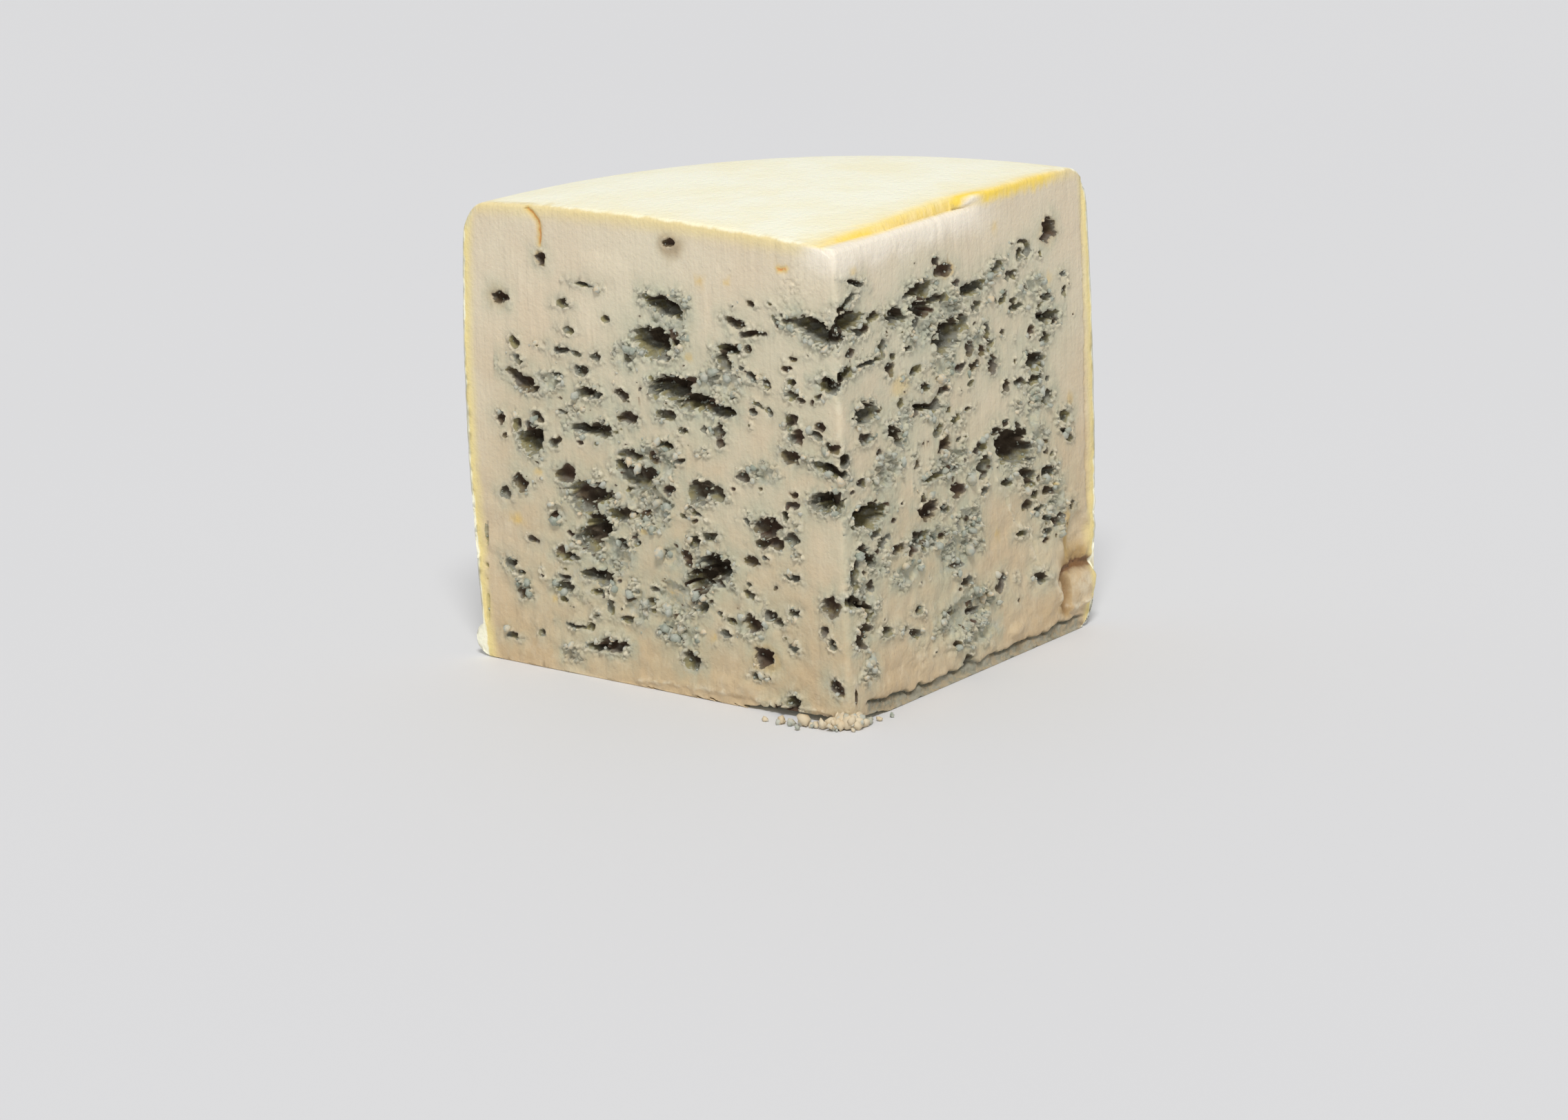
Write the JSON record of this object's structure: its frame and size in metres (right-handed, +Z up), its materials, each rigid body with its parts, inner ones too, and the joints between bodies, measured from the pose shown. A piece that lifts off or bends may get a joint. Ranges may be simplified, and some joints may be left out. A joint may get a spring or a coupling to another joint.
{
  "type": "blue cheese wedge",
  "caption": "Wedge of blue cheese cut from a low wheel, standing on its base, with rind on its top and back and open mould veins on both cut faces.",
  "frame": {"origin": "on the ground under the middle of the box around the wedge", "axes": "+Z up, -Y towards the tip of the wedge, +Y towards the rind at the back, +X along the widest side, to the right of someone who faces the tip"},
  "size_m": [0.133, 0.0906, 0.102],
  "materials": {
    "cheese": "moist ivory paste with grey-green mould in the openings, and a pale cream rind"
  },
  "bodies": {
    "root": {"blue_cheese": "cheese"}
  },
  "joints": []
}
